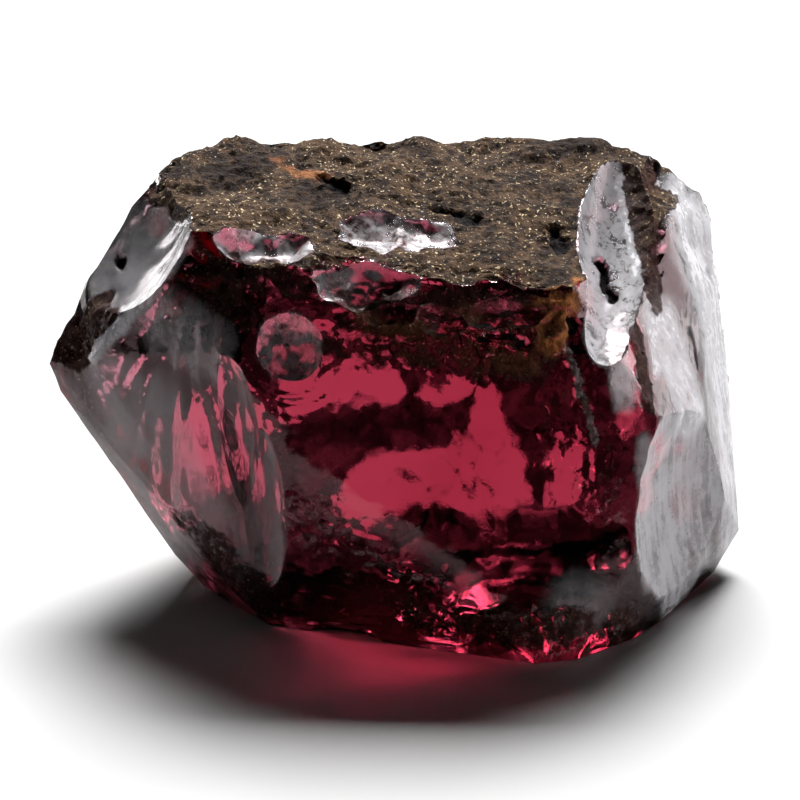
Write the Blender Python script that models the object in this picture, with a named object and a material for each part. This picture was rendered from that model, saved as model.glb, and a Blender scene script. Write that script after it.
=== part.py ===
"""A rough piece of garnet: one see-through red stone, broken on most sides, with weathered skin on its top.

Metres, +Z up. +X is the stone's right and +Y its back, as seen from its broken front.
The origin is on the flat base, under the middle of the stone's box. Sizes are written in millimetres
and scaled by MM. The stone starts as a block with flat faces between its corners. Its weathered
faces are roughened, and then flakes are struck off it, which leave hollow, rippled scars.
"""

import math
from collections import namedtuple

import bmesh
import bpy
from mathutils import Matrix, Vector, noise

MM = 0.001

# Corners of the unbroken block, in millimetres from a point on the base below the stone.
CORNERS = {
    # the flat base that the stone rests on
    "base front left": (-2.85, -2.9, 0.0),
    "base front": (0.25, -3.95, 0.0),
    "base front, right of middle": (3.15, -4.85, 0.0),
    "base front right": (4.1, -4.65, 0.0),
    "base right, front": (5.4, -3.65, 0.0),
    "base right": (6.1, -2.75, 0.0),
    "base right end": (6.9, 0.2, 0.0),
    "base back right": (5.6, 3.4, 0.0),
    "base back": (1.0, 4.3, 0.0),
    "base back left": (-2.6, 3.8, 0.0),
    "base left": (-4.5, 1.8, 0.0),
    "base left, front": (-4.4, -1.0, 0.0),
    # the overhanging left end
    "left tip": (-8.0, 0.35, 5.15),
    "left tip, upper side": (-7.68, 0.6, 5.95),
    "left tip, lower side": (-7.8, 0.4, 4.45),
    "left tip, back": (-7.1, 2.4, 5.6),
    "left foot": (-5.15, -0.6, 0.7),
    "left shoulder": (-6.1, 1.6, 8.55),
    "left rim, low": (-6.9, -0.7, 5.7),
    "left rim": (-5.25, -1.45, 7.75),
    "left rim, high": (-4.5, -1.3, 8.95),
    "left front ridge": (-3.9, -2.6, 6.6),
    # the rim of the weathered top
    "top left": (-5.45, 2.0, 9.2),
    "top back, far left": (-4.8, 2.8, 9.5),
    "top back left": (-4.0, 3.3, 9.65),
    "top back, left of middle": (-2.4, 3.6, 9.5),
    "top back": (0.2, 3.8, 9.45),
    "top back, right of middle": (2.6, 3.9, 9.4),
    "top back right": (4.9, 3.5, 9.6),
    "top front left": (-3.4, -2.1, 8.5),
    "top front": (-1.4, -2.5, 8.25),
    "top front, right of middle": (1.5, -2.65, 8.15),
    "top front right": (3.95, -2.6, 8.1),
    # the brow, where the broken front begins
    "brow left": (-1.85, -3.05, 6.95),
    "brow middle": (0.8, -3.35, 7.0),
    "brow right": (3.6, -3.4, 6.85),
    # the right end
    "right shoulder": (6.05, 3.3, 9.25),
    "right end, top": (7.25, 3.2, 8.4),
    "right end, high": (7.7, 3.3, 7.4),
    "right end, upper": (7.75, 3.2, 6.4),
    "right end, middle": (8.05, 2.7, 4.3),
    "right edge, low": (6.95, -1.8, 4.05),
    "right apex": (8.2, 0.35, 0.9),
    "right apex, lower side": (7.55, -0.5, 0.2),
    "right front, high": (5.9, -2.7, 5.1),
    "right front, middle": (5.7, -3.35, 2.5),
    "right front, low": (6.1, -3.0, 0.8),
    # the back
    "back, left": (-4.8, 3.8, 5.0),
    "back, middle": (0.5, 4.9, 4.6),
    "back, right": (5.0, 4.6, 4.2),
    # the broken front
    "front left ridge": (-2.2, -3.45, 4.7),
}

LONGEST_EDGE = 0.85  # of the block's facets

# A flake scar: the middle of its floor, the way it faces, the radius of its hollow, and where the
# blow that made it fell. The ripples run round the blow.
Flake = namedtuple("Flake", "floor facing radius blow")
FLAKES = {
    "lens chip": Flake((-2.25, -2.66, 6.8), (-0.20, -0.95, 0.22), 1.2, (-2.2, -2.8, 7.6)),
    "left shoulder": Flake((-5.6, 0.1, 7.75), (-0.71, -0.34, 0.61), 5.0, (-5.0, 0.9, 8.8)),
    "lower right": Flake((6.38, -1.85, 2.45), (0.80, -0.59, 0.10), 9.0, (5.9, -2.8, 5.2)),
    "back left": Flake((-3.6, 3.45, 5.2), (-0.45, 0.88, 0.15), 8.0, (-3.2, 3.6, 9.0)),
    "back right": Flake((3.5, 4.0, 5.6), (0.18, 0.95, 0.24), 8.0, (3.6, 3.8, 9.2)),
    "back middle": Flake((0.2, 4.2, 3.0), (-0.05, 0.97, -0.22), 6.0, (0.3, 4.6, 5.6)),
    "back foot": Flake((2.9, 3.6, 1.1), (0.20, 0.80, -0.56), 5.0, (2.6, 4.6, 3.2)),
    "back end": Flake((6.55, 3.35, 5.0), (0.72, 0.69, 0.05), 6.0, (6.4, 3.6, 8.0)),
    "base chip": Flake((-0.95, -3.34, 0.1), (-0.30, -0.75, -0.60), 2.2, (-1.0, -3.4, 1.4)),
    "left underside": Flake((-5.55, 1.3, 2.6), (-0.72, 0.30, -0.62), 6.0, (-7.0, 1.4, 5.0)),
}
RIPPLE_HEIGHT = 0.03
RIPPLE_SPACING = 1.1
RIPPLE_STEP = 0.6  # between the points of a scar's rippled profile
SCAR_REACH = 9.0  # the farthest that a scar runs from its blow
WIDEST_SCAR = 2.2  # radians of the ball that the smallest scars may use
COARSE_STEPS = 8  # round the part of the ball that the stone never meets
ROUND_STEPS = 32

# A sliver scar, longer than it is wide: the middle of its floor, the way it faces, the direction
# of its length, and the half length, half width and half depth of the flattened ball that fits it.
Sliver = namedtuple("Sliver", "floor facing along size")
SLIVERS = {
    "right shoulder": Sliver((4.38, 0.1, 7.93), (0.78, -0.38, 0.50), (0.03, 0.90, 0.44), (3.9, 1.15, 1.1)),
    "left": Sliver((-2.66, -2.80, 2.8), (-0.62, -0.78, 0.0), (-0.03, 0.0, 1.0), (2.7, 0.75, 0.9)),
    "upper left": Sliver((-3.47, -2.45, 5.03), (-0.30, -0.95, -0.08), (-0.12, 0.0, 1.0), (2.6, 0.72, 0.9)),
    "ledge 1": Sliver((-2.75, -1.5, 8.55), (0.0, -0.45, 0.90), (1.0, 0.0, 0.0), (1.3, 0.8, 0.6)),
    "ledge 2": Sliver((0.1, -0.75, 8.6), (0.0, -0.35, 0.94), (1.0, 0.0, -0.06), (1.8, 0.9, 0.6)),
    "ledge 3": Sliver((-0.65, -2.25, 8.0), (0.0, -0.75, 0.66), (1.0, 0.0, 0.0), (1.3, 0.7, 0.6)),
    "ledge 4": Sliver((-0.1, -2.75, 7.45), (0.0, -0.85, 0.52), (1.0, 0.0, 0.0), (0.7, 0.3, 0.4)),
    "ledge 5": Sliver((1.05, -2.85, 7.35), (0.0, -0.85, 0.52), (1.0, 0.0, 0.0), (0.7, 0.35, 0.4)),
    "ledge 6": Sliver((2.4, -2.75, 7.5), (0.0, -0.85, 0.52), (1.0, 0.0, 0.05), (1.1, 0.35, 0.4)),
}

# Where the weathered skin is left besides the top: the middle of each patch and its radius.
SKIN_PATCHES = {
    "right strip": ((6.3, 1.7, 7.6), 2.0),
    "left tip": ((-7.2, 0.5, 6.0), 1.3),
    "back, high": ((-2.2, 4.2, 7.6), 1.7),
    "back, middle": ((0.9, 4.8, 5.6), 1.0),
    "back, low": ((2.6, 4.6, 3.2), 1.5),
    "back, left": ((-4.9, 3.3, 3.4), 1.5),
    "back, right": ((5.8, 4.0, 6.6), 1.6),
    "foot, back": ((-0.9, 4.3, 1.2), 1.3),
}
TOP_SLOPE = 0.72  # a face whose normal rises more than this belongs to the weathered top
SKIN_RELIEF = 0.28
SKIN_GRAIN = 1.1
SKIN_SWELL = 0.10
SWELL_LENGTH = 3.2
FACE_UNEVENNESS = 0.04


def add_object(name, mesh, collection, parent):
    obj = bpy.data.objects.new(name, mesh)
    collection.objects.link(obj)
    obj.parent = parent
    return obj


def garnet_red():
    material = bpy.data.materials.new("garnet_red")
    material.use_nodes = True
    shader = material.node_tree.nodes["Principled BSDF"]
    shader.inputs["Base Color"].default_value = (0.30, 0.02, 0.04, 1.0)
    shader.inputs["Roughness"].default_value = 0.12
    shader.inputs["Metallic"].default_value = 0.0
    shader.inputs["IOR"].default_value = 1.76
    return material


def split_long_edges(bm, longest):
    """Cuts every edge in half until none is longer, so that the faces can be roughened."""
    long_edges = list(bm.edges)
    while long_edges:
        long_edges = [edge for edge in bm.edges if edge.calc_length() > longest]
        bmesh.ops.subdivide_edges(bm, edges=long_edges, cuts=1)
        bmesh.ops.triangulate(bm, faces=bm.faces)


def weathering(place, normal):
    """How much weathered skin covers a place, in millimetres on the block: 0 for none, 1 for all."""
    cover = min(1.0, max(0.0, (normal.z - TOP_SLOPE) / 0.15))
    for middle, radius in SKIN_PATCHES.values():
        distance = (place - Vector(middle)).length
        cover = max(cover, min(1.0, (radius - distance) / 0.5))
    return cover


def roughen(bm):
    """Lifts and sinks the weathered skin, and the clean faces a little. The base stays flat."""
    moves = []
    for vert in bm.verts:
        place = vert.co / MM
        cover = weathering(place, vert.normal)
        swell = noise.noise(place / SWELL_LENGTH)
        grain = noise.noise(place / SKIN_GRAIN)
        lift = cover * (SKIN_SWELL * swell + SKIN_RELIEF * grain)
        lift += (1.0 - cover) * FACE_UNEVENNESS * swell
        lift *= min(1.0, place.z)
        moves.append(vert.normal * lift * MM)
    for vert, move in zip(bm.verts, moves):
        vert.co += move


def block_mesh():
    bm = bmesh.new()
    for corner in CORNERS.values():
        bm.verts.new(Vector(corner) * MM)
    hull = bmesh.ops.convex_hull(bm, input=bm.verts)
    inside = {item for item in hull["geom_interior"] if isinstance(item, bmesh.types.BMVert)}
    bmesh.ops.delete(bm, geom=list(inside), context="VERTS")
    bmesh.ops.recalc_face_normals(bm, faces=bm.faces)
    split_long_edges(bm, LONGEST_EDGE * MM)
    bm.normal_update()
    roughen(bm)
    mesh = bpy.data.meshes.new("garnet_crystal")
    bm.to_mesh(mesh)
    bm.free()
    return mesh


def scar_profile(radius):
    """Half a circle round the blow, in fine steps as far as a scar reaches and coarsely beyond it."""
    reach = min(SCAR_REACH / radius, WIDEST_SCAR)
    steps = round(reach * radius / RIPPLE_STEP)
    angles = [reach * i / steps for i in range(steps + 1)]
    angles += [reach + (math.pi - reach) * (i + 1) / COARSE_STEPS for i in range(COARSE_STEPS)]
    points = []
    for angle in angles:
        from_blow = angle * radius
        wave = math.sin(2 * math.pi * from_blow / RIPPLE_SPACING) * min(1.0, from_blow)
        ring = radius + RIPPLE_HEIGHT * wave * (angle < reach)
        points.append((ring * math.sin(angle), 0.0, ring * math.cos(angle)))
    points[0] = (0.0, 0.0, points[0][2])
    points[-1] = (0.0, 0.0, points[-1][2])
    return points


def hide_cutter(cutter):
    cutter.hide_render = True
    cutter.display_type = "WIRE"
    return cutter


def flake_cutter(name, flake, collection, parent):
    """A rippled ball, turned about the line from its centre to the blow."""
    centre = Vector(flake.floor) + Vector(flake.facing).normalized() * flake.radius
    bm = bmesh.new()
    verts = [bm.verts.new(Vector(point) * MM) for point in scar_profile(flake.radius)]
    edges = [bm.edges.new(pair) for pair in zip(verts, verts[1:])]
    bmesh.ops.spin(bm, geom=verts + edges, cent=(0, 0, 0), axis=(0, 0, 1), angle=2 * math.pi,
                   steps=ROUND_STEPS, use_merge=True)
    bmesh.ops.remove_doubles(bm, verts=bm.verts, dist=0.00001)
    bmesh.ops.recalc_face_normals(bm, faces=bm.faces)
    mesh = bpy.data.meshes.new(name)
    bm.to_mesh(mesh)
    bm.free()
    cutter = add_object(name, mesh, collection, parent)
    cutter.location = centre * MM
    cutter.rotation_mode = "QUATERNION"
    cutter.rotation_quaternion = (Vector(flake.blow) - centre).to_track_quat("Z", "Y")
    return hide_cutter(cutter)


def sliver_cutter(name, sliver, collection, parent):
    """A ball stretched along the scar and flattened across it."""
    bm = bmesh.new()
    bmesh.ops.create_icosphere(bm, subdivisions=3, radius=MM)
    bmesh.ops.scale(bm, verts=bm.verts, vec=sliver.size)
    mesh = bpy.data.meshes.new(name)
    bm.to_mesh(mesh)
    bm.free()
    outwards = Vector(sliver.facing).normalized()
    across = outwards.cross(Vector(sliver.along)).normalized()
    along = across.cross(outwards)
    cutter = add_object(name, mesh, collection, parent)
    cutter.location = (Vector(sliver.floor) + outwards * sliver.size[2]) * MM
    cutter.rotation_mode = "QUATERNION"
    cutter.rotation_quaternion = Matrix((along, across, outwards)).transposed().to_quaternion()
    return hide_cutter(cutter)


def strike(stone, cutter):
    """Takes the cutter's shape out of the stone."""
    cut = stone.modifiers.new(cutter.name, "BOOLEAN")
    cut.operation = "DIFFERENCE"
    cut.solver = "EXACT"
    cut.object = cutter


def new_collection(name):
    collection = bpy.data.collections.new(name)
    bpy.context.scene.collection.children.link(collection)
    return collection


def move_origin_to_base(origin, stone):
    """Puts the middle of the stone's base at the world's origin."""
    bpy.context.view_layer.update()
    finished = stone.evaluated_get(bpy.context.evaluated_depsgraph_get())
    corners = [finished.matrix_world @ Vector(corner) for corner in finished.bound_box]
    lowest = Vector([min(corner[axis] for corner in corners) for axis in range(3)])
    highest = Vector([max(corner[axis] for corner in corners) for axis in range(3)])
    middle = (lowest + highest) / 2
    origin.location = (-middle.x, -middle.y, -lowest.z)


def main():
    for obj in list(bpy.data.objects):
        bpy.data.objects.remove(obj)
    parts = new_collection("garnet_crystal")
    cutters = new_collection("flake_cutters")
    origin = bpy.data.objects.new("stone_origin", None)
    parts.objects.link(origin)
    stone = add_object("garnet_crystal", block_mesh(), parts, origin)
    stone.data.materials.append(garnet_red())
    for name, flake in FLAKES.items():
        strike(stone, flake_cutter("flake " + name, flake, cutters, origin))
    for name, sliver in SLIVERS.items():
        strike(stone, sliver_cutter("sliver " + name, sliver, cutters, origin))
    move_origin_to_base(origin, stone)


main()
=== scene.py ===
# %% [markdown]
# # A rough garnet crystal
# This lesson dresses a small piece of garnet: a clear, dark red stone that broke out of its rock.
# It has a matte, weathered skin on top and glassy, shell-shaped break scars on its sides.
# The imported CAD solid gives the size, the place and the main faces. Here the stone is built again
# from the same corners and the same scars, finely enough that its ripples, grain and edges show.

# %% Load the frame
import math
from collections import namedtuple

import bmesh
import bpy
import numpy as np
from mathutils import Matrix, Vector, noise


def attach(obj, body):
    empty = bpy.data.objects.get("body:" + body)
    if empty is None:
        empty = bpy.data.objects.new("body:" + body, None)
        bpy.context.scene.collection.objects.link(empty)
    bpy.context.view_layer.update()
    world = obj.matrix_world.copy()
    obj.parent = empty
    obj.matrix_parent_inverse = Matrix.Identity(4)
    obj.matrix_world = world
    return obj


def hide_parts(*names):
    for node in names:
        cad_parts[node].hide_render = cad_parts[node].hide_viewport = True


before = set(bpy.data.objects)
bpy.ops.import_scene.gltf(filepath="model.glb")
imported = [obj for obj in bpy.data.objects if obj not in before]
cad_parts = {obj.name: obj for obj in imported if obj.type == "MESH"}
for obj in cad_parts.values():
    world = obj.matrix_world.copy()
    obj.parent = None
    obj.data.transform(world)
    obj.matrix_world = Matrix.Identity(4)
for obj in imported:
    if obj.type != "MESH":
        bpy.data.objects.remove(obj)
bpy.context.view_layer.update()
MM = 0.001

# %% [markdown]
# ## Camera
# A stone this small is seen with a long macro lens, so that its far edges don't shrink.
# The camera looks down on it a little, at the middle of its height, square to its broken front.
# The stone's corners are written from a point on the base that isn't quite under the middle of
# its box, so one small step, block_to_frame, takes every place from the block to the frame.

# %% Camera
block_to_frame = Vector((-0.105, -0.021, 0.0)) * MM
LENS_MM = 135.0
SENSOR_MM = 36.0
CAMERA_TILT = math.radians(22.0)
VIEW_WIDTH = 18.605 * MM  # how much of the stone's middle plane the frame takes in
AIM = Vector((0.14, 0.0, 4.375)) * MM + block_to_frame

lens = bpy.data.cameras.new("macro_lens")
lens.lens = LENS_MM
lens.sensor_width = SENSOR_MM
lens.clip_start = 0.001
camera = bpy.data.objects.new("macro_camera", lens)
bpy.context.scene.collection.objects.link(camera)
camera_back = Vector((0.0, -math.cos(CAMERA_TILT), math.sin(CAMERA_TILT)))
camera.location = AIM + camera_back * VIEW_WIDTH * LENS_MM / SENSOR_MM
camera.rotation_euler = (math.radians(90.0) - CAMERA_TILT, 0.0, 0.0)
bpy.context.scene.camera = camera
print("The camera stands", round((camera.location - AIM).length / MM), "mm from the stone")


# %% [markdown]
# ## A small way to write shader maths
# A node tree is wires, but what it works out is often a short sum. This class wraps a socket, so
# that adding or multiplying two of them adds the Math node. One method, node, makes any other node:
# settings first, then the values or links of its sockets.

# %% Sockets as numbers
class Field:
    def __init__(self, socket):
        self.socket = socket

    def _math(self, operation, first, second):
        tree = self.socket.id_data
        made = tree.nodes.new("ShaderNodeMath")
        made.operation = operation
        for slot, value in zip(made.inputs, (first, second)):
            plug(slot, value)
        return Field(made.outputs[0])

    def __add__(self, other):
        return self._math("ADD", self, other)

    def __radd__(self, other):
        return self._math("ADD", other, self)

    def __sub__(self, other):
        return self._math("SUBTRACT", self, other)

    def __rsub__(self, other):
        return self._math("SUBTRACT", other, self)

    def __mul__(self, other):
        return self._math("MULTIPLY", self, other)

    def __rmul__(self, other):
        return self._math("MULTIPLY", other, self)

    def most(self, other):
        return self._math("MAXIMUM", self, other)


def plug(slot, value):
    """Links a field to a socket, or sets the socket's value."""
    if isinstance(value, Field):
        slot.id_data.links.new(value.socket, slot)
    else:
        slot.default_value = value


class Wiring:
    """The empty node tree of a material or a world, and one way to add a node to it."""

    def __init__(self, owner):
        owner.use_nodes = True
        self.tree = owner.node_tree
        self.tree.nodes.clear()

    def node(self, kind, settings=None, output=0, **sockets):
        made = self.tree.nodes.new("ShaderNode" + kind)
        for key, value in (settings or {}).items():
            setattr(made, key, value)
        for name, value in sockets.items():
            plug(made.inputs[name.replace("_", " ")], value)
        return Field(made.outputs[output]) if made.outputs else None

    def ramp(self, value, low, high):
        """0 below low, 1 above high, and smooth between them."""
        return self.node("MapRange", {"interpolation_type": "SMOOTHSTEP"},
                         Value=value, From_Min=low, From_Max=high)

    def mix(self, factor, first, second):
        made = self.tree.nodes.new("ShaderNodeMix")
        made.data_type = "RGBA"
        plug(made.inputs["Factor"], factor)
        plug(made.inputs[6], first)
        plug(made.inputs[7], second)
        return Field(made.outputs[2])


print("Shader helper ready")

# %% [markdown]
# ## Floor and light
# The stone stands on a plain white sheet, lit from behind, so that its shadow falls forwards.
# A see-through stone shows what is behind it, so the back must be bright and the camera's side
# dark: then the front faces are like windows and not mirrors. That is also why the sheet ends just
# in front of the stone.

# %% Floor
FLOOR_DROP = 0.02 * MM  # a stone touches its table at a few points, with air under the rest
FLOOR_SIZE = 0.6
FLOOR_FRONT = 0.0142  # the sheet ends here, so that the front faces have the dark room to reflect

floor_bm = bmesh.new()
bmesh.ops.create_grid(floor_bm, x_segments=1, y_segments=1, size=FLOOR_SIZE / 2)
bmesh.ops.translate(floor_bm, verts=floor_bm.verts,
                    vec=(0.0, FLOOR_SIZE / 2 - FLOOR_FRONT, -FLOOR_DROP))
floor_mesh = bpy.data.meshes.new("white_sheet")
floor_bm.to_mesh(floor_mesh)
floor_bm.free()
floor = bpy.data.objects.new("white_sheet", floor_mesh)
bpy.context.scene.collection.objects.link(floor)
paper = bpy.data.materials.new("white_sheet")
sheet = Wiring(paper)
sheet.node("OutputMaterial",
           Surface=sheet.node("BsdfPrincipled", Base_Color=(0.88, 0.88, 0.88, 1.0), Roughness=0.8))
floor_mesh.materials.append(paper)
print("A floor", FLOOR_SIZE, "m wide")

# %% [markdown]
# ### Softboxes
# The large softbox behind and above the stone lights the sheet and shines through the stone. The
# one at the right gives the right faces their pale light. It shines on the stone alone, or else it
# would light up the shadow. The small one behind the left end only draws glints on the edges.

# %% Softboxes
Softbox = namedtuple("Softbox", "place width height glow lights_up")
stone_alone = bpy.data.collections.new("stone_alone")  # what the right softbox shines on
SOFTBOXES = {
    "back_softbox": Softbox((0.02, 0.45, 0.535), 0.38, 0.24, 31.0, "everything"),
    "right_softbox": Softbox((0.49, 0.04, 0.10), 0.52, 0.36, 5.2, "stone"),
    "rim_softbox": Softbox((-0.30, 0.42, 0.04), 0.18, 0.14, 6.0, "gloss"),
}

for name, box in SOFTBOXES.items():
    light = bpy.data.lights.new(name, "AREA")
    light.shape = "RECTANGLE"
    light.size = box.width
    light.size_y = box.height
    light.energy = box.glow * math.pi * box.width * box.height
    lamp = bpy.data.objects.new(name, light)
    bpy.context.scene.collection.objects.link(lamp)
    lamp.location = box.place
    lamp.rotation_euler = (AIM - Vector(box.place)).to_track_quat("-Z", "Y").to_euler()
    lamp.visible_camera = False
    lamp.visible_diffuse = box.lights_up != "gloss"
    if box.lights_up == "stone":
        lamp.light_linking.receiver_collection = stone_alone
    print(name, "gives", round(light.energy, 1), "W")

# %% [markdown]
# ### Sky
# The sky is a plain gradient: dark in front and overhead, and brighter low down behind. The camera
# itself sees it plain white, like the sheet.

# %% Sky
FRONT_SKY = 0.01
BACK_SKY = 0.1
SKY_SEEN = 1.0
BACK_SPREAD = (0.1, 0.75)  # where the glow behind begins, going round, and where it is full
BACK_HEIGHT = (0.15, 0.45)  # how far up it stays full, and where it ends

world = bpy.data.worlds.new("studio_sky")
bpy.context.scene.world = world
sky = Wiring(world)
sky_direction = sky.node("TexCoord", output="Generated")
sky_depth = sky.node("SeparateXYZ", output="Y", Vector=sky_direction)
sky_height = sky.node("SeparateXYZ", output="Z", Vector=sky_direction)
horizon = sky.ramp(sky_depth, *BACK_SPREAD) * (1.0 - sky.ramp(sky_height, *BACK_HEIGHT))
sky_glow = FRONT_SKY + horizon * (BACK_SKY - FRONT_SKY)
seen = sky.node("LightPath", output="Is Camera Ray")
sky.node("OutputWorld",
         Surface=sky.node("Background", Strength=sky_glow * (1.0 - seen) + seen * SKY_SEEN))
bpy.context.scene.view_settings.view_transform = "Standard"
bpy.context.scene.cycles.blur_glossy = 0.0  # keeps the red light that falls through the stone
print("Sky from", FRONT_SKY, "in front to", BACK_SKY, "behind")

# %% [markdown]
# ## The block
# The stone starts as a block with flat faces between its corners. The corners alone are placed, and
# the convex hull operator stretches the faces over them, like a skin pulled tight. A face modelled
# by hand would have to be kept flat, and this way each one is flat by itself.

# %% Corners of the unbroken block, in millimetres
CORNERS = {
    # the flat base that the stone rests on
    "base front left": (-2.85, -2.9, 0.0),
    "base front": (0.25, -3.95, 0.0),
    "base front, right of middle": (3.15, -4.85, 0.0),
    "base front right": (4.1, -4.65, 0.0),
    "base right, front": (5.4, -3.65, 0.0),
    "base right": (6.1, -2.75, 0.0),
    "base right end": (6.9, 0.2, 0.0),
    "base back right": (5.6, 3.4, 0.0),
    "base back": (1.0, 4.3, 0.0),
    "base back left": (-2.6, 3.8, 0.0),
    "base left": (-4.5, 1.8, 0.0),
    "base left, front": (-4.4, -1.0, 0.0),
    # the overhanging left end
    "left tip": (-8.0, 0.35, 5.15),
    "left tip, upper side": (-7.68, 0.6, 5.95),
    "left tip, lower side": (-7.8, 0.4, 4.45),
    "left tip, back": (-7.1, 2.4, 5.6),
    "left foot": (-5.15, -0.6, 0.7),
    "left shoulder": (-6.1, 1.6, 8.55),
    "left rim, low": (-6.9, -0.7, 5.7),
    "left rim": (-5.25, -1.45, 7.75),
    "left rim, high": (-4.5, -1.3, 8.95),
    "left front ridge": (-3.9, -2.6, 6.6),
    # the rim of the weathered top
    "top left": (-5.45, 2.0, 9.2),
    "top back, far left": (-4.8, 2.8, 9.5),
    "top back left": (-4.0, 3.3, 9.65),
    "top back, left of middle": (-2.4, 3.6, 9.5),
    "top back": (0.2, 3.8, 9.45),
    "top back, right of middle": (2.6, 3.9, 9.4),
    "top back right": (4.9, 3.5, 9.6),
    "top front left": (-3.4, -2.1, 8.5),
    "top front": (-1.4, -2.5, 8.25),
    "top front, right of middle": (1.5, -2.65, 8.15),
    "top front right": (3.95, -2.6, 8.1),
    # the brow, where the broken front begins
    "brow left": (-1.85, -3.05, 6.95),
    "brow middle": (0.8, -3.35, 7.0),
    "brow right": (3.6, -3.4, 6.85),
    # the right end
    "right shoulder": (6.05, 3.3, 9.25),
    "right end, top": (7.25, 3.2, 8.4),
    "right end, high": (7.7, 3.3, 7.4),
    "right end, upper": (7.75, 3.2, 6.4),
    "right end, middle": (8.05, 2.7, 4.3),
    "right edge, low": (6.95, -1.8, 4.05),
    "right apex": (8.2, 0.35, 0.9),
    "right apex, lower side": (7.55, -0.5, 0.2),
    "right front, high": (5.9, -2.7, 5.1),
    "right front, middle": (5.7, -3.35, 2.5),
    "right front, low": (6.1, -3.0, 0.8),
    # the back
    "back, left": (-4.8, 3.8, 5.0),
    "back, middle": (0.5, 4.9, 4.6),
    "back, right": (5.0, 4.6, 4.2),
    # the broken front
    "front left ridge": (-2.2, -3.45, 4.7),
}


def new_object(name, bm):
    mesh = bpy.data.meshes.new(name)
    bm.to_mesh(mesh)
    bm.free()
    obj = bpy.data.objects.new(name, mesh)
    bpy.context.scene.collection.objects.link(obj)
    return obj


def split_long_edges(bm, longest):
    """Cuts long edges in half, in as many rounds as the longest one needs."""
    widest = max(edge.calc_length() for edge in bm.edges)
    rounds = math.ceil(math.log2(widest / longest)) + 1
    for _ in range(rounds):
        long_edges = [edge for edge in bm.edges if edge.calc_length() > longest]
        bmesh.ops.subdivide_edges(bm, edges=long_edges, cuts=1)
        bmesh.ops.triangulate(bm, faces=bm.faces, quad_method="SHORT_EDGE")


block = bmesh.new()
for corner in CORNERS.values():
    block.verts.new(Vector(corner) * MM + block_to_frame)
hull = bmesh.ops.convex_hull(block, input=block.verts)
inside = {item for item in hull["geom_interior"] if isinstance(item, bmesh.types.BMVert)}
bmesh.ops.delete(block, geom=list(inside), context="VERTS")
bmesh.ops.recalc_face_normals(block, faces=block.faces)
print("The block has", len(block.verts), "corners and", len(block.faces), "faces")

# %% [markdown]
# ### Lumps of the weathered skin
# Weathering eats into the skin grain by grain and leaves it lumpy, while a fresh break stays nearly
# flat. Noise moves the block's points along their own directions: far where skin lies, and hardly
# at all elsewhere. The points of the base stay where they are, so that the stone still rests on it.
# Two creases of the hull are smoothed away first, because a break face wouldn't have them.

# %% Lumps of the weathered skin, as large as the solid has them
SKIN_PATCHES = {
    "right strip": ((6.3, 1.7, 7.6), 2.0),
    "left tip": ((-7.2, 0.5, 6.0), 1.3),
    "back, high": ((-2.2, 4.2, 7.6), 1.7),
    "back, middle": ((0.9, 4.8, 5.6), 1.0),
    "back, low": ((2.6, 4.6, 3.2), 1.5),
    "back, left": ((-4.9, 3.3, 3.4), 1.5),
    "back, right": ((5.8, 4.0, 6.6), 1.6),
    "foot, back": ((-0.9, 4.3, 1.2), 1.3),
}
TOP_SLOPE = 0.72  # the upward part of a face's direction, above which it counts as the top
SLOPE_FADE = 0.15
PATCH_FADE = 0.5
SKIN_RELIEF = 0.28
SKIN_GRAIN = 1.1
SKIN_SWELL = 0.10
SWELL_LENGTH = 3.2
FACE_UNEVENNESS = 0.04
BLOCK_EDGE = 0.42
SOFT_CREASES = [((-2.0, -3.5, 4.5), (1.6, -4.35, 1.6)), ((3.6, -3.45, 6.2), (3.3, -4.4, 2.0))]
CREASE_REACH = 1.2
CREASE_ROUNDS = 40


def distance_to_line(place, start, line):
    along = min(1.0, max(0.0, (place - start).dot(line) / line.length_squared))
    return (place - start - line * along).length


def weathering(place, normal):
    """How much weathered skin covers a place on the block: 0 for none, 1 for all."""
    cover = min(1.0, max(0.0, (normal.z - TOP_SLOPE) / SLOPE_FADE))
    for middle, radius in SKIN_PATCHES.values():
        distance = (place - Vector(middle)).length
        cover = max(cover, min(1.0, (radius - distance) / PATCH_FADE))
    return cover


def on_block(point):
    """A point of the frame, in the block's millimetres."""
    return (point - block_to_frame) / MM


split_long_edges(block, BLOCK_EDGE * MM)
for start, end in SOFT_CREASES:
    line = Vector(end) - Vector(start)
    near = [vert for vert in block.verts
            if distance_to_line(on_block(vert.co), Vector(start), line) < CREASE_REACH]
    for _ in range(CREASE_ROUNDS):
        bmesh.ops.smooth_vert(block, verts=near, factor=0.5,
                              use_axis_x=True, use_axis_y=True, use_axis_z=True)
    print("Softened a crease with", len(near), "points")
block.normal_update()
lifts = []
for vert in block.verts:
    place = on_block(vert.co)
    cover = weathering(place, vert.normal)
    swell = noise.noise(place / SWELL_LENGTH)
    lump = noise.noise(place / SKIN_GRAIN)
    lift = cover * (SKIN_SWELL * swell + SKIN_RELIEF * lump)
    lift += (1.0 - cover) * FACE_UNEVENNESS * swell
    lifts.append(vert.normal * lift * min(1.0, place.z) * MM)
for vert, lift in zip(block.verts, lifts):
    vert.co += lift
stone = new_object("garnet_stone", block)
print("The roughened block has", len(stone.data.vertices), "points")

# %% [markdown]
# ## Break scars
# Garnet has no cleavage, so it breaks like glass: each flake leaves a shallow hollow with ripples
# that run round the place where the blow fell. A hollow like that is part of a large ball, so each
# scar is cut by a ball whose surface carries the ripples. The ball is a profile spun about the
# blow. A Boolean keeps the rim of the hollow as a sharp edge, which a pushed-in dent would not.

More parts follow.
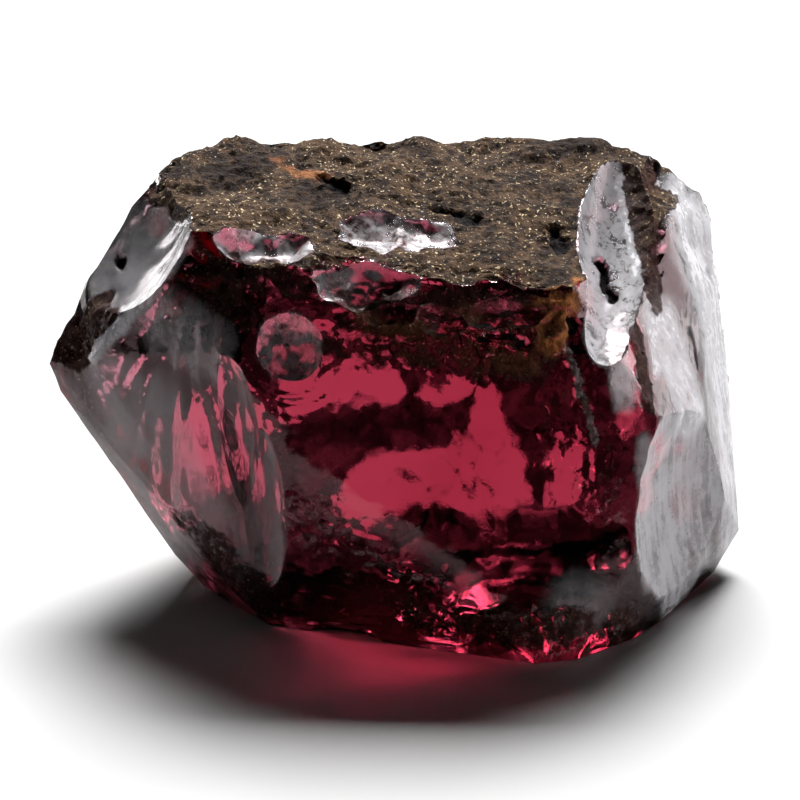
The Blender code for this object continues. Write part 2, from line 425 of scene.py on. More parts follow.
# %% The flakes, in millimetres on the block
Flake = namedtuple("Flake", "floor facing radius blow")
FLAKES = {
    "lens chip": Flake((-2.25, -2.66, 6.8), (-0.20, -0.95, 0.22), 1.2, (-2.2, -2.8, 7.6)),
    "left shoulder": Flake((-5.6, 0.1, 7.75), (-0.71, -0.34, 0.61), 5.0, (-5.0, 0.9, 8.8)),
    "lower right": Flake((6.38, -1.85, 2.45), (0.80, -0.59, 0.10), 9.0, (5.9, -2.8, 5.2)),
    "back left": Flake((-3.6, 3.45, 5.2), (-0.45, 0.88, 0.15), 8.0, (-3.2, 3.6, 9.0)),
    "back right": Flake((3.5, 4.0, 5.6), (0.18, 0.95, 0.24), 8.0, (3.6, 3.8, 9.2)),
    "back middle": Flake((0.2, 4.2, 3.0), (-0.05, 0.97, -0.22), 6.0, (0.3, 4.6, 5.6)),
    "back foot": Flake((2.9, 3.85, 1.1), (0.20, 0.93, -0.28), 5.0, (2.6, 4.6, 3.2)),
    "back end": Flake((6.55, 3.35, 5.0), (0.72, 0.69, 0.05), 6.0, (6.4, 3.6, 8.0)),
    "base chip": Flake((-0.95, -3.34, 0.1), (-0.30, -0.75, -0.60), 2.2, (-1.0, -3.4, 1.4)),
    "left underside": Flake((-5.55, 1.3, 2.6), (-0.72, 0.30, -0.62), 6.0, (-7.0, 1.4, 5.0)),
}
RIPPLE_HEIGHT = 0.02
RIPPLE_SPACING = 0.55
RIPPLE_STEP = 0.09
RIPPLE_FADE = 5.0
RIPPLE_STRETCH = 6.0  # the ripples are twice as far apart at this distance from the blow
SCAR_REACH = 9.0
WIDEST_SCAR = 2.2
COARSE_STEPS = 8
ROUND_STEPS = 96
TINY = 0.001 * MM


def scar_profile(radius):
    """Half a circle round the blow, fine and rippled as far as a scar reaches, coarse beyond it."""
    reach = min(SCAR_REACH / radius, WIDEST_SCAR)
    steps = round(reach * radius / RIPPLE_STEP)
    angles = [reach * i / steps for i in range(steps + 1)]
    angles += [reach + (math.pi - reach) * (i + 1) / COARSE_STEPS for i in range(COARSE_STEPS)]
    points = []
    for angle in angles:
        from_blow = angle * radius
        fading = min(1.0, from_blow) * math.exp(-from_blow / RIPPLE_FADE)
        spacing = RIPPLE_SPACING * (1.0 + from_blow / RIPPLE_STRETCH)
        wave = math.sin(2 * math.pi * from_blow / spacing)
        ring = radius + RIPPLE_HEIGHT * wave * fading * (angle < reach)
        points.append((ring * math.sin(angle), 0.0, ring * math.cos(angle)))
    points[0] = (0.0, 0.0, points[0][2])
    points[-1] = (0.0, 0.0, points[-1][2])
    return points


def flake_cutter(name, flake):
    centre = Vector(flake.floor) + Vector(flake.facing).normalized() * flake.radius
    bm = bmesh.new()
    verts = [bm.verts.new(Vector(point) * MM) for point in scar_profile(flake.radius)]
    edges = [bm.edges.new(pair) for pair in zip(verts, verts[1:])]
    bmesh.ops.spin(bm, geom=verts + edges, cent=(0, 0, 0), axis=(0, 0, 1), angle=2 * math.pi,
                   steps=ROUND_STEPS, use_merge=True)
    bmesh.ops.remove_doubles(bm, verts=bm.verts, dist=TINY)
    bmesh.ops.recalc_face_normals(bm, faces=bm.faces)
    turn = (Vector(flake.blow) - centre).to_track_quat("Z", "Y").to_matrix()
    bmesh.ops.rotate(bm, verts=bm.verts, cent=(0, 0, 0), matrix=turn)
    bmesh.ops.translate(bm, verts=bm.verts, vec=centre * MM + block_to_frame)
    return new_object(name, bm)


cutters = [flake_cutter("flake_" + name.replace(" ", "_"), flake)
           for name, flake in FLAKES.items()]
print(len(cutters), "rippled balls, with", sum(len(c.data.vertices) for c in cutters), "points")

# %% [markdown]
# ### Slivers and ledges
# Long thin scars run down an edge or along the lip of the top. Each is cut by a ball that is
# stretched along the scar and flattened across it. Where thin skin tore, the ball is made uneven
# with noise, which frays the scar's outline.

# %% The slivers, in millimetres on the block
Sliver = namedtuple("Sliver", "floor facing along size fraying", defaults=(0.0,))
SLIVERS = {
    "right shoulder": Sliver((4.38, 0.1, 7.93), (0.78, -0.38, 0.50), (0.03, 0.90, 0.44),
                             (3.9, 1.0, 1.0)),
    "left": Sliver((-2.66, -2.80, 2.8), (-0.62, -0.78, 0.0), (-0.03, 0.0, 1.0),
                   (2.7, 0.75, 0.9)),
    "upper left": Sliver((-3.47, -2.45, 5.03), (-0.30, -0.95, -0.08), (-0.12, 0.0, 1.0),
                         (2.6, 0.72, 0.9)),
    "ledge 1": Sliver((-2.75, -1.5, 8.55), (0.0, -0.45, 0.90), (1.0, 0.0, 0.0),
                      (1.3, 0.8, 0.6), 0.22),
    "ledge 2": Sliver((0.1, -0.75, 8.6), (0.0, -0.35, 0.94), (1.0, 0.0, -0.06),
                      (1.8, 0.9, 0.6), 0.22),
    "ledge 3": Sliver((-0.65, -2.25, 8.0), (0.0, -0.75, 0.66), (1.0, 0.0, 0.0),
                      (1.3, 0.7, 0.6), 0.22),
    "ledge 4": Sliver((-0.1, -2.75, 7.45), (0.0, -0.85, 0.52), (1.0, 0.0, 0.0),
                      (0.7, 0.3, 0.4), 0.12),
    "ledge 5": Sliver((1.05, -2.85, 7.35), (0.0, -0.85, 0.52), (1.0, 0.0, 0.0),
                      (0.7, 0.35, 0.4), 0.12),
    "ledge 6": Sliver((2.4, -2.75, 7.5), (0.0, -0.85, 0.52), (1.0, 0.0, 0.05),
                      (1.1, 0.35, 0.4), 0.12),
}
FRAYING_FINENESS = 1.9
BALL_FINENESS = 5


def sliver_cutter(name, sliver):
    outwards = Vector(sliver.facing).normalized()
    across = outwards.cross(Vector(sliver.along)).normalized()
    along = across.cross(outwards)
    bm = bmesh.new()
    bmesh.ops.create_icosphere(bm, subdivisions=BALL_FINENESS, radius=MM)
    bmesh.ops.scale(bm, verts=bm.verts, vec=sliver.size)
    for vert in bm.verts:
        uneven = noise.noise(vert.co / MM * FRAYING_FINENESS + Vector(sliver.floor))
        push = sliver.fraying * uneven
        vert.co += vert.co.normalized() * push * MM
    turn = Matrix((along, across, outwards)).transposed()
    bmesh.ops.rotate(bm, verts=bm.verts, cent=(0, 0, 0), matrix=turn)
    middle = (Vector(sliver.floor) + outwards * sliver.size[2]) * MM + block_to_frame
    bmesh.ops.translate(bm, verts=bm.verts, vec=middle)
    return new_object(name, bm)


cutters += [sliver_cutter("sliver_" + name.replace(" ", "_"), sliver)
            for name, sliver in SLIVERS.items()]
print(len(SLIVERS), "stretched balls for the slivers and ledges")

# %% [markdown]
# ### Striking the flakes off
# Every ball is taken away from the block in turn. Each ball has a material named after it, and the
# Boolean hands that to the faces it makes. So every scar can still be told from the others later,
# when the finishes are laid.

# %% Strike the flakes off
block_face = bpy.data.materials.new("block face")
stone.data.materials.append(block_face)
for cutter in cutters:
    cutter.data.materials.append(bpy.data.materials.new(cutter.name))
    cut = stone.modifiers.new(cutter.name, "BOOLEAN")
    cut.operation = "DIFFERENCE"
    cut.solver = "EXACT"
    cut.material_mode = "TRANSFER"
    cut.object = cutter
bpy.context.view_layer.update()
struck = bpy.data.meshes.new_from_object(stone.evaluated_get(bpy.context.evaluated_depsgraph_get()))
stone.modifiers.clear()
stone.data = struck
for cutter in cutters:
    bpy.data.objects.remove(cutter)
struck_by = [material.name for material in struck.materials]
print("After the Booleans:", len(struck.polygons), "faces, struck by", struck_by[1:])

# %% [markdown]
# ## A fine mesh
# The rest of the work happens point by point, so the mesh is cut finer until no edge is longer
# than about a seventh of a millimetre. That is nearly as fine as the grain of the skin.

# %% Refine
FINE_EDGE = 0.14

fine = bmesh.new()
fine.from_mesh(struck)
bmesh.ops.triangulate(fine, faces=fine.faces)
bmesh.ops.dissolve_degenerate(fine, dist=TINY, edges=fine.edges)
bmesh.ops.triangulate(fine, faces=fine.faces)
split_long_edges(fine, FINE_EDGE * MM)
fine.normal_update()
print("The fine mesh has", len(fine.faces), "triangles, and",
      sum(1 for edge in fine.edges if not edge.is_manifold), "open edges")

# %% [markdown]
# ## Where each finish lies
# Skin, frost, rust and pits lie in zones of the stone. A zone is a line with a reach about it, in
# the block's millimetres, so it can be a round spot, a long seam or a wide patch. Each place is
# nudged by noise before its distance is measured, which frays the zone's border as weathering
# would. The cover is kept on the mesh's points as an attribute, and the material reads it there.

# %% Zones
Zone = namedtuple("Zone", "start end reach amount")
ZONE_END = 1.3  # in reaches from the line, where a zone has faded out
ZONE_FADE = 0.6
# each noise's size, and how far it moves a border, in millimetres
WIDE_FRAYING = ((0.9, 0.35), (0.3, 0.14))
SLIGHT_FRAYING = ((0.4, 0.08), (0.15, 0.04))
PIT_FRAYING = ((0.4, 0.14), (0.15, 0.07))


def spot(middle, reach, amount=1.0):
    return Zone(middle, middle, reach, amount)


def zone_cover(zones, places):
    """The most that any zone covers each place: its amount near its line, and 0 past its reach."""
    most = np.zeros(len(places))
    for zone in zones.values():
        start = np.array(zone.start)
        line = np.array(zone.end) - start
        along = np.clip((places - start) @ line / max(line @ line, 1e-9), 0.0, 1.0)
        gap = (places - start - along[:, None] * line) / np.array(zone.reach)
        distance = np.linalg.norm(gap, axis=1)
        cover = np.clip((ZONE_END - distance) / ZONE_FADE, 0.0, 1.0)
        most = np.maximum(most, zone.amount * cover)
    return most


def rise(values, start, span):
    """0 up to start, 1 past start + span, and a straight rise between them."""
    return np.clip((values - start) / span, 0.0, 1.0)


def speckle(places, size, seed):
    """Noise between about -1 and 1 at each place, with lumps of the given size in millimetres."""
    shift = Vector((seed, seed * 1.7, seed * 2.3))
    return np.array([noise.noise(Vector(place) / size + shift) for place in places])


def nudged(places, fraying):
    moved = places.copy()
    for size, step in fraying:
        for axis in range(3):
            moved[:, axis] += step * speckle(places, size, 5.0 + 3.0 * axis)
    return moved


places = np.array([on_block(vert.co) for vert in fine.verts])
facing = np.array([vert.normal for vert in fine.verts])
frayed = nudged(places, WIDE_FRAYING)
slightly_frayed = nudged(places, SLIGHT_FRAYING)
print("Zones are measured at", len(places), "points")

# %% [markdown]
# ### Skin
# Skin covers the gentle slope on top, lies in flakes along the broken brow and in the corners, and
# hides most of the back. Scars are bare, but for the ledges, where a little has grown back. Worn
# skin lets some light by, and the back keeps clear windows: the red of such a stone is light that
# comes in behind and leaves in front.

# %% Skin
SKIN_ZONES = {
    "brow": Zone((-0.9, -2.8, 7.7), (3.6, -3.0, 7.55), (0.6, 0.9, 0.55), 0.62),
    "brow, under": Zone((-1.2, -3.2, 7.0), (3.4, -3.3, 6.8), (0.6, 0.5, 0.65), 0.54),
    "brow, left": Zone((-4.2, -1.7, 8.3), (-1.9, -2.4, 8.15), (0.4, 0.7, 0.35), 0.62),
    "brow, far left": Zone((-4.6, -1.5, 8.5), (-3.4, -2.3, 7.6), (0.5, 0.7, 0.6), 0.56),
    "right of the middle": Zone((3.7, -3.4, 6.2), (4.6, -3.5, 3.4), (0.9, 0.8, 0.9), 0.36),
    "left tip": Zone((-7.6, 0.2, 5.6), (-6.6, -0.3, 6.6), (0.55, 0.9, 0.5), 0.72),
    "left, over the shoulder": Zone((-5.3, 1.3, 9.0), (-4.6, 0.0, 9.1), (0.4, 0.7, 0.35), 1.0),
    "pebbly corner": Zone((5.3, -3.6, 0.5), (4.3, -4.3, 0.4), (0.5, 0.6, 0.6), 0.47),
    "lower rim": Zone((-4.6, -1.8, 1.8), (-3.0, -2.8, 0.5), (0.6, 0.6, 0.7), 0.58),
    "front, low left": Zone((-2.0, -3.2, 2.9), (0.8, -3.8, 1.0), (0.9, 0.8, 1.0), 0.42),
    "front, low": Zone((0.6, -3.9, 0.9), (3.6, -4.4, 0.7), (0.9, 0.8, 0.6), 0.58),
    "base": Zone((-2.0, 0.6, 0.0), (4.5, 0.6, 0.0), (2.4, 4.6, 0.15), 1.0),
}
NARROW_SKIN_ZONES = {
    "rusty corner": spot((3.5, -3.0, 7.35), (0.45, 0.6, 0.6), 0.8),
    "seam": Zone((3.7, -3.1, 7.2), (4.45, -3.47, 4.9), (0.10, 0.3, 0.2), 0.6),
    "right strip": Zone((5.75, 2.6, 9.2), (5.75, 0.8, 8.0), (0.5, 0.5, 0.6), 0.74),
    "right strip, low": Zone((5.8, 0.7, 7.9), (5.93, -0.5, 7.0), (0.3, 0.4, 0.4), 0.7),
    "shoulder's lower end": spot((4.8, -2.55, 6.65), (0.45, 0.5, 0.5), 0.5),
    "right wedge": Zone((5.45, -1.7, 6.6), (5.66, -2.6, 5.4), (0.22, 0.35, 0.35), 0.75),
    "back, thread": Zone((1.55, 4.5, 2.0), (2.35, 4.5, 1.1), (0.05, 3.0, 0.05), 0.6),
    "back, splinter": Zone((0.45, 4.5, 1.8), (1.2, 4.5, 1.35), (0.08, 3.0, 0.06), 0.55),
}
WINDOW_ZONES = {
    # clear glass on the back, which the front looks out through
    "high": Zone((-1.25, 4.5, 3.7), (0.15, 4.5, 3.75), (0.5, 3.0, 0.48), 1.0),
    "over the blob": Zone((1.1, 4.5, 3.45), (1.8, 4.5, 3.5), (0.3, 3.0, 0.25), 0.9),
    "low": Zone((0.2, 4.5, 1.7), (2.6, 4.5, 1.2), (0.6, 3.0, 0.7), 1.0),
    "low, right": Zone((2.3, 4.5, 2.9), (2.5, 4.5, 1.6), (0.5, 3.0, 0.5), 1.0),
    "far right": spot((4.0, 4.5, 2.7), (0.4, 3.0, 0.45), 0.7),
    "left": Zone((-4.8, 3.5, 4.9), (-4.0, 3.5, 4.3), (0.6, 3.0, 0.6), 1.0),
    "left, long": Zone((-3.3, 4.0, 4.8), (-2.7, 4.0, 2.4), (0.45, 3.0, 0.5), 1.0),
    "left, broad": Zone((-4.8, 3.5, 4.6), (-3.2, 4.0, 2.4), (1.4, 3.0, 1.4), 0.72),
    "glint": spot((1.4, 4.3, 0.2), (0.5, 3.0, 0.2), 0.6),
    "glint, right": spot((2.9, 4.3, 0.5), (0.6, 3.0, 0.3), 0.6),
    # and clear glass higher up, which lets the light in
    "top": Zone((-4.8, 3.4, 6.9), (5.0, 4.2, 6.5), (1.0, 3.0, 1.25), 0.9),
}
WINDOW_CLEARNESS = 0.73
THICKEST = 1.3  # on the top the skin lets no light by
# how much skin a scar has grown back; the first name that fits a scar counts
SCAR_SKIN = {"ledge_1": 0.44, "ledge_2": 0.48, "ledge_3": 0.15, "ledge": 0.5, "lens_chip": 0.42}
# the backward part of a face's direction where the back's skin starts, and its fade
BACK_FACING = (0.2, 0.2)
BACK_PLACE = (1.2, 0.5)  # how far back it starts, in millimetres, and its fade

scar_faces = [[struck_by[face.material_index] for face in vert.link_faces] for vert in fine.verts]


def by_scar(amounts, otherwise):
    """An amount at each point, from the scars that its faces belong to."""
    looked_up = {name: next((amount for key, amount in amounts.items() if key in name), otherwise)
                 for name in struck_by}
    return np.array([sum(looked_up[name] for name in names) / len(names) for names in scar_faces])


fresh = by_scar({"block": 0.0}, 1.0)
slope = rise(facing[:, 2], TOP_SLOPE, SLOPE_FADE)
skin = np.maximum(THICKEST * slope * (1.0 - fresh), zone_cover(SKIN_ZONES, frayed))
skin = np.maximum(skin, zone_cover(NARROW_SKIN_ZONES, slightly_frayed))
skin = np.maximum(skin, by_scar(SCAR_SKIN, 0.0))
behind = rise(facing[:, 1], *BACK_FACING) * rise(places[:, 1], *BACK_PLACE)
windows = zone_cover(WINDOW_ZONES, frayed)
skin = np.maximum(skin, behind * (1.0 - WINDOW_CLEARNESS * windows))
print("Skin covers", round(100 * np.mean(skin > 0.5)), "% of the stone")

# %% [markdown]
# ### Frost, rust and pits
# Rubbing crushes glass to a pale frost, most of all on the blunt right end and along worn edges.
# Iron has stained the skin with rust in a few places, and grains that fell out of it left small
# pits, which are sunk into the stone and painted near black inside as painted shade.

# %% Frost, rust and pits
FROST_ZONES = {
    "right end": Zone((7.1, 2.4, 8.2), (7.9, 1.2, 2.6), (0.9, 1.8, 1.0), 0.95),
    "right end, low": Zone((7.6, 0.4, 3.0), (7.9, 0.0, 1.2), (0.5, 0.7, 0.8), 0.7),
    "right neck": Zone((6.2, -0.9, 6.6), (6.6, -1.2, 4.6), (0.6, 0.8, 0.8), 0.9),
    "under the shoulder": Zone((4.85, -2.4, 6.5), (5.2, -3.1, 5.6), (0.3, 0.4, 0.3), 0.6),
    "right foot": Zone((6.4, -2.2, 0.5), (7.0, -1.4, 1.0), (0.5, 0.7, 0.5), 0.5),
    "left, hackles": Zone((-5.2, -1.5, 7.0), (-4.1, -2.2, 6.6), (0.6, 0.8, 0.75), 0.42),
    "seam": Zone((3.75, -3.1, 7.1), (4.45, -3.47, 4.9), (0.05, 0.3, 0.2), 0.6),
    "right band": Zone((5.62, -3.0, 4.4), (5.72, -3.15, 1.3), (0.22, 0.3, 0.3), 0.4),
    "left, upper": Zone((-6.3, -0.9, 5.2), (-6.0, -1.0, 4.0), (0.9, 0.7, 0.8), 0.3),
    "left, middle": Zone((-5.2, -1.6, 4.6), (-4.4, -2.0, 2.4), (0.6, 0.7, 1.0), 0.36),
    "left, foot": Zone((-4.6, -1.8, 2.6), (-3.4, -2.5, 1.6), (0.6, 0.7, 0.8), 0.36),
    "corner haze": spot((4.0, -4.0, 1.2), (0.8, 0.8, 0.7), 0.2),
}
WORN_EDGES = {
    # edges that rubbing has cleaned of skin and crushed to a pale line
    "left rim": Zone((-4.65, -1.3, 8.7), (-5.3, -1.3, 7.6), (0.2, 0.25, 0.2), 1.0),
    "left rim, low": Zone((-5.3, -1.3, 7.6), (-6.95, -0.65, 5.7), (0.16, 0.22, 0.18), 1.0),
    "right ridge": Zone((5.25, 2.3, 9.0), (5.5, 0.2, 7.6), (0.10, 0.3, 0.16), 1.0),
    "right ridge, low": Zone((5.5, 0.2, 7.6), (5.95, -1.9, 5.9), (0.12, 0.3, 0.16), 1.0),
}
SCAR_FROST = {"left_shoulder": 0.38, "lower_right": 0.55, "right_shoulder": 0.55, "ledge_1": 0.6,
              "ledge_2": 0.6, "ledge_3": 0.45, "ledge": 0.2, "sliver_left": 0.3, "upper_left": 0.2,
              "lens_chip": 0.5}
RUST_ZONES = {
    "streak": Zone((-2.7, 2.3, 9.5), (-1.7, 1.4, 9.4), (0.2, 0.3, 0.4), 0.35),
    "rusty corner": spot((3.5, -3.0, 7.35), (0.5, 0.6, 0.7), 1.0),
    "brow": Zone((-0.4, -3.0, 7.2), (3.0, -3.2, 7.0), (0.5, 0.6, 0.5), 0.12),
    "shoulder": spot((4.0, -2.4, 7.7), (0.3, 0.5, 0.3), 0.5),
}
PIT_ZONES = {
    "slit": Zone((-1.65, 1.35, 9.4), (-1.1, 0.9, 9.25), (0.12, 0.2, 0.3), 1.0),
    "left shoulder": spot((-6.3, 0.8, 7.5), (0.14, 0.2, 0.2), 1.0),
    "right shoulder": Zone((4.72, 0.2, 7.6), (4.96, -0.5, 7.1), (0.12, 0.25, 0.2), 1.0),
    "corner slit": Zone((3.75, -2.75, 7.55), (4.0, -2.95, 7.2), (0.1, 0.25, 0.12), 1.0),
    "under the top": Zone((3.6, -0.3, 8.5), (3.75, -0.9, 8.4), (0.2, 0.3, 0.25), 1.0),
    "ledge": Zone((1.1, 0.2, 8.9), (1.75, -0.2, 8.8), (0.25, 0.2, 0.2), 0.9),
    "below the brow": Zone((2.0, -3.2, 7.15), (2.8, -3.2, 7.05), (0.22, 0.3, 0.13), 0.7),
}

worn = zone_cover(WORN_EDGES, slightly_frayed)
skin *= 1.0 - worn
frost = np.maximum(zone_cover(FROST_ZONES, slightly_frayed), by_scar(SCAR_FROST, 0.0))
frost = np.maximum(frost, worn)
rust = zone_cover(RUST_ZONES, frayed)
pit = zone_cover(PIT_ZONES, nudged(places, PIT_FRAYING))
for finish, amounts in (("frost", frost), ("rust", rust), ("pits", pit)):
    print("Points with", finish, "in %:", round(100 * np.mean(amounts > 0.3), 1))

# %% [markdown]
# ## Grain, ripples and streaks
# The skin is rough at several sizes at once, so two more noises are added to its lumps, each finer
# than the last. Break faces are smooth but never flat: fine streaks, called hackles, fan out from
# where the crack began. A fan is noise that is squeezed round its starting point and stretched
# away from it. Faint rings surround the lens-shaped chip, and the brow is broken in small steps.
# Every point moves along its own direction, which keeps the mesh closed.

# %% Relief
Fan = namedtuple("Fan", "start middle reach height lines")
FANS = {
    "left face": Fan((-4.5, -1.9, 8.0), (-4.8, -1.9, 5.0), (1.8, 1.2, 2.9), 0.045, 15.0),
    "left neck": Fan((-4.0, -1.5, 9.6), (-4.6, -1.9, 6.9), (1.3, 1.0, 1.0), 0.06, 11.0),
    "left sliver": Fan((-2.9, -2.7, 7.2), (-2.8, -2.8, 3.0), (0.6, 0.8, 2.8), 0.022, 16.0),
    "right end": Fan((6.3, 4.0, 12.0), (7.5, 1.0, 5.0), (1.2, 2.2, 3.6), 0.014, 30.0),
    "right shoulder": Fan((5.6, 2.8, 10.5), (4.6, -0.2, 7.8), (0.9, 2.6, 1.6), 0.015, 30.0),
    "lower right": Fan((6.0, -2.6, 6.5), (6.6, -1.9, 2.5), (0.9, 1.2, 2.2), 0.008, 18.0),
}
FAN_END = 1.25
FAN_FADE = 0.5
FAN_DRIFT = 0.35  # how fast a streak changes along its length
# each noise's size and height in millimetres, and its seed
CRUST_GRAIN = ((0.42, 0.05, 0.0), (0.17, 0.07, 2.0))
GLASS_WAVES = ((0.5, 0.008, 4.0), (0.2, 0.003, 6.0))
CRUST_SINK = 0.02
RING_MIDDLE = (-2.27, -2.9, 6.8)
RING_RADIUS = 1.2
RING_SPREAD = 0.35
RING_SPACING = 0.26
RING_HEIGHT = 0.010
RING_TOP = 6.6  # the rings show below the chip alone
RING_TOP_FADE = 0.5
STEP_HEIGHT = 0.10
STEP_SIZE = 0.42
STEP_SEED = 8.0
STEP_SQUEEZE = (0.45, 1.0, 1.3)  # long from left to right, and short from top to bottom
PIT_DEPTH = 0.16
BASE_FADE = 0.5
CRUST_START = 0.3
CRUST_STEEPNESS = 1.6
BROKEN_ZONES = {
    # where the top broke away in small steps, one under the other
    "brow": Zone((-1.4, -2.8, 7.5), (3.4, -3.0, 7.2), (0.5, 0.8, 0.7), 1.0),
    "brow, far left": Zone((-4.6, -1.5, 8.4), (-2.2, -2.5, 7.9), (0.5, 0.7, 0.5), 0.8),
}


def fan_lift(fan, places):
    """Streaks that spread from a fan's starting point, in millimetres."""
    spread = places - np.array(fan.start)
    length = np.linalg.norm(spread, axis=1)
    direction = spread / length[:, None] * fan.lines
    streak = np.array([noise.noise(Vector(ray) + Vector((0.0, 0.0, FAN_DRIFT * far)))
                       for ray, far in zip(direction, length)])
    distance = np.linalg.norm((places - np.array(fan.middle)) / np.array(fan.reach), axis=1)
    return fan.height * streak * np.clip((FAN_END - distance) / FAN_FADE, 0.0, 1.0)


def roughness(noises):
    return sum(height * speckle(places, size, seed) for size, height, seed in noises)


glassy = 1.0 - np.clip(skin * CRUST_STEEPNESS - CRUST_START, 0.0, 1.0)
crusty = 1.0 - glassy
lift = crusty * (roughness(CRUST_GRAIN) - CRUST_SINK)
for fan in FANS.values():
    lift += glassy * fan_lift(fan, places)
from_chip = np.linalg.norm(places - np.array(RING_MIDDLE), axis=1)
near_chip = np.exp(-((from_chip - RING_RADIUS) / RING_SPREAD) ** 2)
rings = np.sin(from_chip * 2 * math.pi / RING_SPACING) * near_chip
lift += glassy * RING_HEIGHT * rings * np.clip((RING_TOP - places[:, 2]) / RING_TOP_FADE, 0.0, 1.0)
lift += glassy * roughness(GLASS_WAVES)
broken = zone_cover(BROKEN_ZONES, frayed)
lift += STEP_HEIGHT * broken * speckle(places * np.array(STEP_SQUEEZE), STEP_SIZE, STEP_SEED)
lift -= PIT_DEPTH * pit
lift *= np.clip(places[:, 2] / BASE_FADE, 0.0, 1.0)  # the base stays flat
print("The relief goes from", round(lift.min(), 3), "to", round(lift.max(), 3), "mm")

# %% [markdown]
# ### Moving the points
# The cover of each finish is written onto the points, and then every point moves by its own lift.
# The faces are smoothed where they meet at a low angle and keep a crisp edge where they don't,
# because a fresh break has both.

# %% Keep the cover on the points, and move them
SHARP_ANGLE = math.radians(34.0)

attributes = {"skin": skin, "frost": frost, "rust": rust, "pit": pit}
layers = {name: fine.verts.layers.float.new(name) for name in attributes}
for index, vert in enumerate(fine.verts):
    for name, layer in layers.items():
        vert[layer] = attributes[name][index]
    vert.co += vert.normal * float(lift[index]) * MM
fine.normal_update()
for face in fine.faces:
    face.material_index = 0
    face.smooth = True
for edge in fine.edges:
    edge.smooth = edge.calc_face_angle(0.0) < SHARP_ANGLE
fine.to_mesh(stone.data)
fine.free()
stone.data.materials.clear()
print("The stone has", len(stone.data.polygons), "triangles")

# %% [markdown]
# ## Garnet
# The glass itself has no colour on its surface. Its red comes from what its inside absorbs on the
# way through, so thin places are pink and thick ones almost black. Over the glass lies the frost, a
# pale veil of crushed surface, and over both lies the skin, a rough brown crust with pale specks.
# The thin crust lets a little light by, so that it looks dark red and not black.

# %% Garnet
GARNET_IOR = 1.76
GARNET_COLOUR = (0.704, 0.025, 0.219, 1.0)
GARNET_DENSITY = 480.0
GARNET_ROUGHNESS = 0.03
GLASS_SHEEN = (0.45, 0.28, 0.30, 1.0)
# painted shade: the pits' hollows are coloured near black, as shade in them would look
PIT_PAINTED_SHADE = (0.006, 0.004, 0.004, 1.0)
SKIN_THIN = (0.030, 0.011, 0.009, 1.0)
SKIN_DARK = (0.016, 0.010, 0.008, 1.0)
SKIN_MIDDLE = (0.068, 0.040, 0.022, 1.0)
SKIN_SPECK = (0.56, 0.45, 0.27, 1.0)
RUST_COLOUR = (0.42, 0.15, 0.045, 1.0)
FROST_COLOUR = (0.66, 0.65, 0.68, 1.0)
FROST_STRENGTH = 0.85
FROST_BLUR = 0.3
STREAK_SQUEEZE = (1.0, 1.0, 0.1)  # the frost's streaks run up and down
MOST_LEAK = 0.16  # the share of the light that the crust lets by, between its lumps
LEAK_SPAN = 0.14  # how much less it lets by through a lump
CRUST_RELIEF = 0.08 * MM
FROST_RELIEF = 0.03 * MM
GLASS_RELIEF = 0.003 * MM
# each noise: how fine it is, in waves to the metre, and its detail and roughness
LUMPS = (1500.0, 5.0, 0.6)
GRAIN = (5200.0, 4.0, 0.65)
SPECKS = (13000.0, 2.0, 0.5)
PATCHES = (420.0, 3.0, 0.6)
STREAKS = (4000.0, 3.0, 0.6)
# where a finish begins and where it is full, along its cover or its noise
CRUST_BORDER = (0.38, 0.62)
CRUST_THICK = (0.66, 0.92)
CRUST_DENSE = (1.0, 1.2)
LUMP_BORDER = (0.35, 0.6)
PIT_BORDER = (0.35, 0.65)
FROST_BORDER = (0.22, 0.6)
TONE_BORDER = (0.44, 0.57)
SPECK_BORDER = (0.63, 0.69)
SPECK_PATCHES = (0.35, 0.55)
RUST_BORDER = (0.3, 0.55)

garnet_material = bpy.data.materials.new("garnet_glass")
garnet = Wiring(garnet_material)
where = garnet.node("TexCoord", output="Object")
skin_field, frost_field, rust_field, pit_shade_field = (
    garnet.node("Attribute", {"attribute_name": name}, output="Fac")
    for name in ("skin", "frost", "rust", "pit"))


def noise_field(vector, kind):
    scale, detail, rough = kind
    return garnet.node("TexNoise", Vector=vector, Scale=scale, Detail=detail, Roughness=rough)


lumps, grain, specks, patches = (noise_field(where, kind)
                                 for kind in (LUMPS, GRAIN, SPECKS, PATCHES))
streaks = noise_field(garnet.node("Mapping", Vector=where, Scale=STREAK_SQUEEZE), STREAKS)

# how much each finish covers
uneven_skin = skin_field + (grain - 0.5) * 0.7 + (lumps - 0.5) * 0.5
leaks = MOST_LEAK - LEAK_SPAN * garnet.ramp(lumps, *LUMP_BORDER)
thin = 1.0 - garnet.ramp(skin_field, *CRUST_DENSE)
cover = garnet.ramp(uneven_skin, *CRUST_BORDER) * (1.0 - leaks * thin)
# painted shade: this mask paints the pits near black and lays the crust over them
pit_painted_shade = garnet.ramp(pit_shade_field + (grain - 0.5) * 1.1, *PIT_BORDER)
veil = frost_field * garnet.ramp(grain * 0.25 + lumps * 0.3 + streaks * 0.45, *FROST_BORDER)
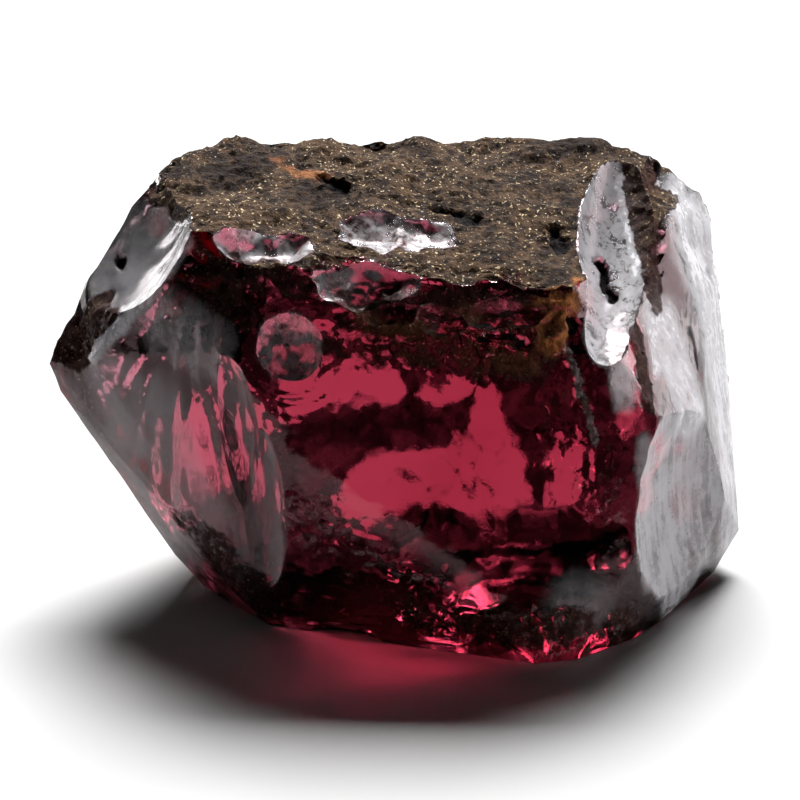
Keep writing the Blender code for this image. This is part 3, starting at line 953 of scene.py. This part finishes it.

# the crust's colour, from its dark ground to its specks and its rust, with painted shade in the
# pits
tone = grain * 0.5 + lumps * 0.25 + patches * 0.25
thick = garnet.ramp(skin_field + (lumps - 0.5) * 0.4, *CRUST_THICK)
speck_share = (0.3 + 0.7 * thick) * garnet.ramp(patches, *SPECK_PATCHES)
speck_cover = garnet.ramp(specks, *SPECK_BORDER) * speck_share
rust_cover = rust_field * garnet.ramp(lumps, *RUST_BORDER)
skin_colour = garnet.mix(garnet.ramp(tone, *TONE_BORDER), SKIN_DARK, SKIN_MIDDLE)
skin_colour = garnet.mix(thick, SKIN_THIN, skin_colour)
skin_colour = garnet.mix(speck_cover, skin_colour, SKIN_SPECK)
skin_colour = garnet.mix(rust_cover, skin_colour, RUST_COLOUR)
crust_colour = garnet.mix(pit_painted_shade, skin_colour, PIT_PAINTED_SHADE)
crust_bump = garnet.node("Bump", Strength=0.9, Distance=CRUST_RELIEF,
                         Height=grain + specks * 0.5)
crust = garnet.node("BsdfPrincipled", Base_Color=crust_colour, Roughness=0.75,
                    Specular_IOR_Level=0.04, Normal=crust_bump)

frost_bump = garnet.node("Bump", Strength=0.5, Distance=FROST_RELIEF, Height=grain)
crushed = garnet.node("BsdfPrincipled", Base_Color=FROST_COLOUR, Roughness=0.5,
                      Specular_IOR_Level=0.4, Normal=frost_bump)

glass_bump = garnet.node("Bump", Strength=1.0, Distance=GLASS_RELIEF, Height=grain)
glass = garnet.node("BsdfPrincipled", Base_Color=(1.0, 1.0, 1.0, 1.0),
                    Roughness=GARNET_ROUGHNESS + veil * FROST_BLUR, IOR=GARNET_IOR,
                    Transmission_Weight=1.0, Specular_Tint=GLASS_SHEEN, Normal=glass_bump)


def laid_over(factor, under, over):
    """One surface over another, as much as the factor says."""
    mixed = garnet.node("MixShader", Fac=factor)
    plug(mixed.socket.node.inputs[1], under)
    plug(mixed.socket.node.inputs[2], over)
    return mixed


frosted_glass = laid_over(veil * FROST_STRENGTH, glass, crushed)
surface = laid_over(cover.most(pit_painted_shade), frosted_glass, crust)
inside = garnet.node("VolumeAbsorption", Color=GARNET_COLOUR, Density=GARNET_DENSITY)
garnet.node("OutputMaterial", Surface=surface, Volume=inside)
stone.data.materials.append(garnet_material)
print("Garnet: refractive index", GARNET_IOR, "and density", GARNET_DENSITY)

# %% [markdown]
# ## Place and finish
# The dressed stone takes the plain solid's place and moves with the same body.

# %% Place and finish
stone_alone.objects.link(stone)
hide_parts("garnet_crystal")
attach(stone, "root")
